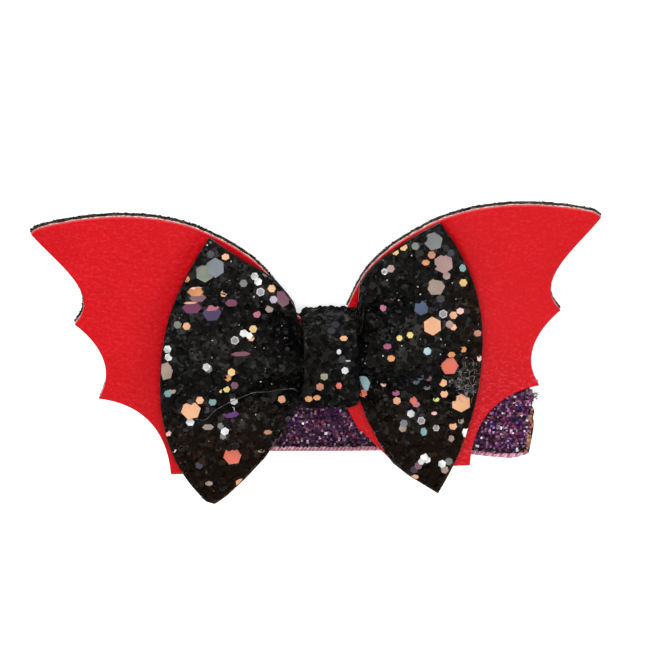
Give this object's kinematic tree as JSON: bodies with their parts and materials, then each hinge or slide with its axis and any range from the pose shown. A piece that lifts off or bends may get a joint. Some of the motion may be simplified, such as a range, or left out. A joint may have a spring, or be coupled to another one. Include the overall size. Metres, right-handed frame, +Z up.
{
  "type": "bat hair clip",
  "caption": "Hair clip with red bat wings in leatherette on a glitter backing, a pinched glitter bow on its front and a ribbon-covered clip glued behind.",
  "frame": {"origin": "middle of the box that holds the part, on the surface it lies on", "axes": "+X along the span of the wings, +Y towards the wings' top edges, +Z up from the surface; the wings' red face looks up and leans 16 degrees towards +Y"},
  "size_m": [0.0902, 0.0452, 0.0182],
  "materials": {
    "leatherette": "fine grained leatherette, satin",
    "glitter_backing": "rough glitter canvas",
    "glitter_canvas": "chunky glitter on canvas, glossy flakes",
    "glitter_band": "chunky glitter on canvas, glossy flakes",
    "tinsel_ribbon": "woven metallic tinsel",
    "clip_steel": "plated sheet steel, satin"
  },
  "bodies": {
    "root": {"wings": "leatherette", "wings_backing": "glitter_backing", "bow": "glitter_canvas", "band": "glitter_band", "ribbon": "tinsel_ribbon", "clip": "clip_steel"}
  },
  "joints": []
}
